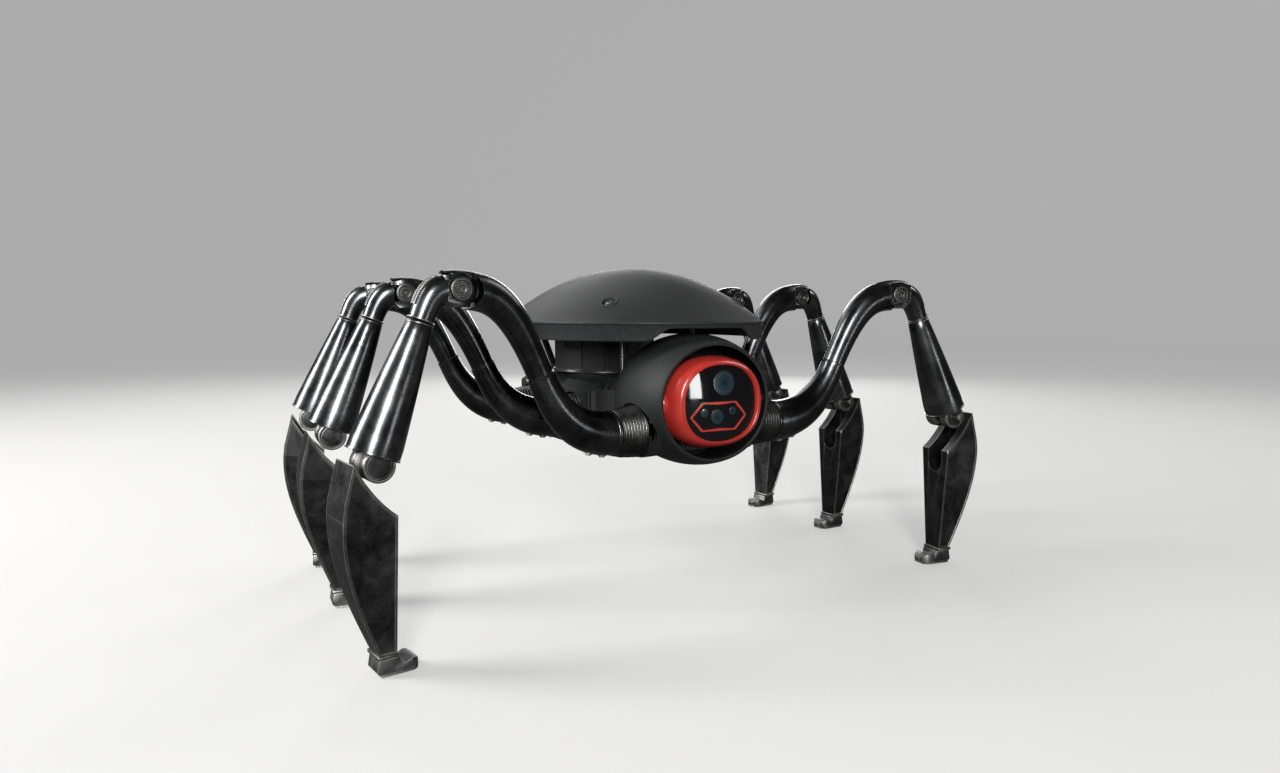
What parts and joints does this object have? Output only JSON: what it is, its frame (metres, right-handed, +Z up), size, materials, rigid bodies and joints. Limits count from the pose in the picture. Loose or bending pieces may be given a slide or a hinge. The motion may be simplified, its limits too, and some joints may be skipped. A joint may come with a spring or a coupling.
{
  "type": "hexapod spider robot",
  "caption": "Walking spider robot with a domed body, arched tubular legs that end in blade feet, and a tilting camera in its front pod.",
  "frame": {"origin": "on the ground, in the middle of the robot's length and width", "axes": "+Z up; the robot faces -Y, so its own right side is -X and its left side is +X"},
  "size_m": [0.5402, 0.2898, 0.2565],
  "materials": {
    "leg_metal": "polished gunmetal with fine scratches and worn edges",
    "worn_metal": "dark cast metal, stained and scuffed, bright along its edges",
    "pin_metal": "dull machined steel",
    "boot_metal": "ribbed, satin grey",
    "shell_plastic": "matte dark grey with a fine mould grain",
    "dome_plastic": "satin dark grey with light scratches",
    "tower_plastic": "smooth mid grey",
    "frame_metal": "bead blasted",
    "battery_wrap": "shrink wrapped",
    "board_laminate": "solder resist over glass laminate",
    "bezel_red": "glossy red with slight wear",
    "window_black": "polished, nearly opaque black",
    "camera_body": "matte black moulding"
  },
  "bodies": {
    "torso": {"hull_shell": "shell_plastic", "belly_plate": "shell_plastic", "head_shell": "shell_plastic", "chassis_frame": "frame_metal", "dome_cover": "dome_plastic", "electronics_tower": "tower_plastic", "battery_pack": "battery_wrap", "control_board": "board_laminate", "tilt_shaft": "pin_metal"},
    "camera": {"camera_bezel": "bezel_red", "camera_window": "window_black", "camera_core": "camera_body"},
    "right_front_thigh_link": {"right_front_hip_boot": "boot_metal", "right_front_coxa_tube": "leg_metal", "right_front_thigh_tube": "leg_metal", "right_front_knee_pin": "pin_metal"},
    "right_front_shin_link": {"right_front_shin": "leg_metal", "right_front_ankle_pin": "pin_metal"},
    "right_front_blade_link": {"right_front_blade": "worn_metal", "right_front_foot": "worn_metal"},
    "right_middle_thigh_link": {"right_middle_hip_boot": "boot_metal", "right_middle_coxa_tube": "leg_metal", "right_middle_thigh_tube": "leg_metal", "right_middle_knee_pin": "pin_metal"},
    "right_middle_shin_link": {"right_middle_shin": "leg_metal", "right_middle_ankle_pin": "pin_metal"},
    "right_middle_blade_link": {"right_middle_blade": "worn_metal", "right_middle_foot": "worn_metal"},
    "right_rear_thigh_link": {"right_rear_hip_boot": "boot_metal", "right_rear_coxa_tube": "leg_metal", "right_rear_thigh_tube": "leg_metal", "right_rear_knee_pin": "pin_metal"},
    "right_rear_shin_link": {"right_rear_shin": "leg_metal", "right_rear_ankle_pin": "pin_metal"},
    "right_rear_blade_link": {"right_rear_blade": "worn_metal", "right_rear_foot": "worn_metal"},
    "left_front_thigh_link": {"left_front_hip_boot": "boot_metal", "left_front_coxa_tube": "leg_metal", "left_front_thigh_tube": "leg_metal", "left_front_knee_pin": "pin_metal"},
    "left_front_shin_link": {"left_front_shin": "leg_metal", "left_front_ankle_pin": "pin_metal"},
    "left_front_blade_link": {"left_front_blade": "worn_metal", "left_front_foot": "worn_metal"},
    "left_middle_thigh_link": {"left_middle_hip_boot": "boot_metal", "left_middle_coxa_tube": "leg_metal", "left_middle_thigh_tube": "leg_metal", "left_middle_knee_pin": "pin_metal"},
    "left_middle_shin_link": {"left_middle_shin": "leg_metal", "left_middle_ankle_pin": "pin_metal"},
    "left_middle_blade_link": {"left_middle_blade": "worn_metal", "left_middle_foot": "worn_metal"},
    "left_rear_thigh_link": {"left_rear_hip_boot": "boot_metal", "left_rear_coxa_tube": "leg_metal", "left_rear_thigh_tube": "leg_metal", "left_rear_knee_pin": "pin_metal"},
    "left_rear_shin_link": {"left_rear_shin": "leg_metal", "left_rear_ankle_pin": "pin_metal"},
    "left_rear_blade_link": {"left_rear_blade": "worn_metal", "left_rear_foot": "worn_metal"}
  },
  "joints": [
    {"name": "right_front_hip_swing", "type": "hinge", "parent": "torso", "child": "right_front_thigh_link", "pos_m": [-0.03564, -0.09625, 0.133], "axis": [0, 0, 1], "range_deg": [-12, 12]},
    {"name": "right_front_knee", "type": "hinge", "parent": "right_front_thigh_link", "child": "right_front_shin_link", "pos_m": [-0.1885, -0.11801, 0.2339], "axis": [0.1409, -0.99, 0], "range_deg": [-20, 30]},
    {"name": "right_front_ankle", "type": "hinge", "parent": "right_front_shin_link", "child": "right_front_blade_link", "pos_m": [-0.24414, -0.12593, 0.1295], "axis": [0.1409, -0.99, 0], "range_deg": [-12, 30]},
    {"name": "right_middle_hip_swing", "type": "hinge", "parent": "torso", "child": "right_middle_thigh_link", "pos_m": [-0.03596, 0.00415, 0.133], "axis": [0, 0, 1], "range_deg": [-12, 12]},
    {"name": "right_middle_knee", "type": "hinge", "parent": "right_middle_thigh_link", "child": "right_middle_shin_link", "pos_m": [-0.1902, 0.01116, 0.2339], "axis": [-0.0454, -0.999, 0], "range_deg": [-20, 30]},
    {"name": "right_middle_ankle", "type": "hinge", "parent": "right_middle_shin_link", "child": "right_middle_blade_link", "pos_m": [-0.24635, 0.01371, 0.1295], "axis": [-0.0454, -0.999, 0], "range_deg": [-12, 30]},
    {"name": "right_rear_hip_swing", "type": "hinge", "parent": "torso", "child": "right_rear_thigh_link", "pos_m": [-0.03563, 0.09585, 0.133], "axis": [0, 0, 1], "range_deg": [-12, 12]},
    {"name": "right_rear_knee", "type": "hinge", "parent": "right_rear_thigh_link", "child": "right_rear_shin_link", "pos_m": [-0.18845, 0.11788, 0.2339], "axis": [-0.1426, -0.9898, 0], "range_deg": [-20, 30]},
    {"name": "right_rear_ankle", "type": "hinge", "parent": "right_rear_shin_link", "child": "right_rear_blade_link", "pos_m": [-0.24408, 0.12589, 0.1295], "axis": [-0.1426, -0.9898, 0], "range_deg": [-12, 30]},
    {"name": "left_front_hip_swing", "type": "hinge", "parent": "torso", "child": "left_front_thigh_link", "pos_m": [0.03564, -0.09625, 0.133], "axis": [0, 0, 1], "range_deg": [-12, 12]},
    {"name": "left_front_knee", "type": "hinge", "parent": "left_front_thigh_link", "child": "left_front_shin_link", "pos_m": [0.1885, -0.11801, 0.2339], "axis": [0.1409, 0.99, 0], "range_deg": [-20, 30]},
    {"name": "left_front_ankle", "type": "hinge", "parent": "left_front_shin_link", "child": "left_front_blade_link", "pos_m": [0.24414, -0.12593, 0.1295], "axis": [0.1409, 0.99, 0], "range_deg": [-12, 30]},
    {"name": "left_middle_hip_swing", "type": "hinge", "parent": "torso", "child": "left_middle_thigh_link", "pos_m": [0.03596, 0.00415, 0.133], "axis": [0, 0, 1], "range_deg": [-12, 12]},
    {"name": "left_middle_knee", "type": "hinge", "parent": "left_middle_thigh_link", "child": "left_middle_shin_link", "pos_m": [0.1902, 0.01116, 0.2339], "axis": [-0.0454, 0.999, 0], "range_deg": [-20, 30]},
    {"name": "left_middle_ankle", "type": "hinge", "parent": "left_middle_shin_link", "child": "left_middle_blade_link", "pos_m": [0.24635, 0.01371, 0.1295], "axis": [-0.0454, 0.999, 0], "range_deg": [-12, 30]},
    {"name": "left_rear_hip_swing", "type": "hinge", "parent": "torso", "child": "left_rear_thigh_link", "pos_m": [0.03563, 0.09585, 0.133], "axis": [0, 0, 1], "range_deg": [-12, 12]},
    {"name": "left_rear_knee", "type": "hinge", "parent": "left_rear_thigh_link", "child": "left_rear_shin_link", "pos_m": [0.18845, 0.11788, 0.2339], "axis": [-0.1426, 0.9898, 0], "range_deg": [-20, 30]},
    {"name": "left_rear_ankle", "type": "hinge", "parent": "left_rear_shin_link", "child": "left_rear_blade_link", "pos_m": [0.24408, 0.12589, 0.1295], "axis": [-0.1426, 0.9898, 0], "range_deg": [-12, 30]},
    {"name": "camera_tilt", "type": "hinge", "parent": "torso", "child": "camera", "pos_m": [0, -0.11948, 0.154], "axis": [1, 0, 0], "range_deg": [-12, 12]}
  ]
}
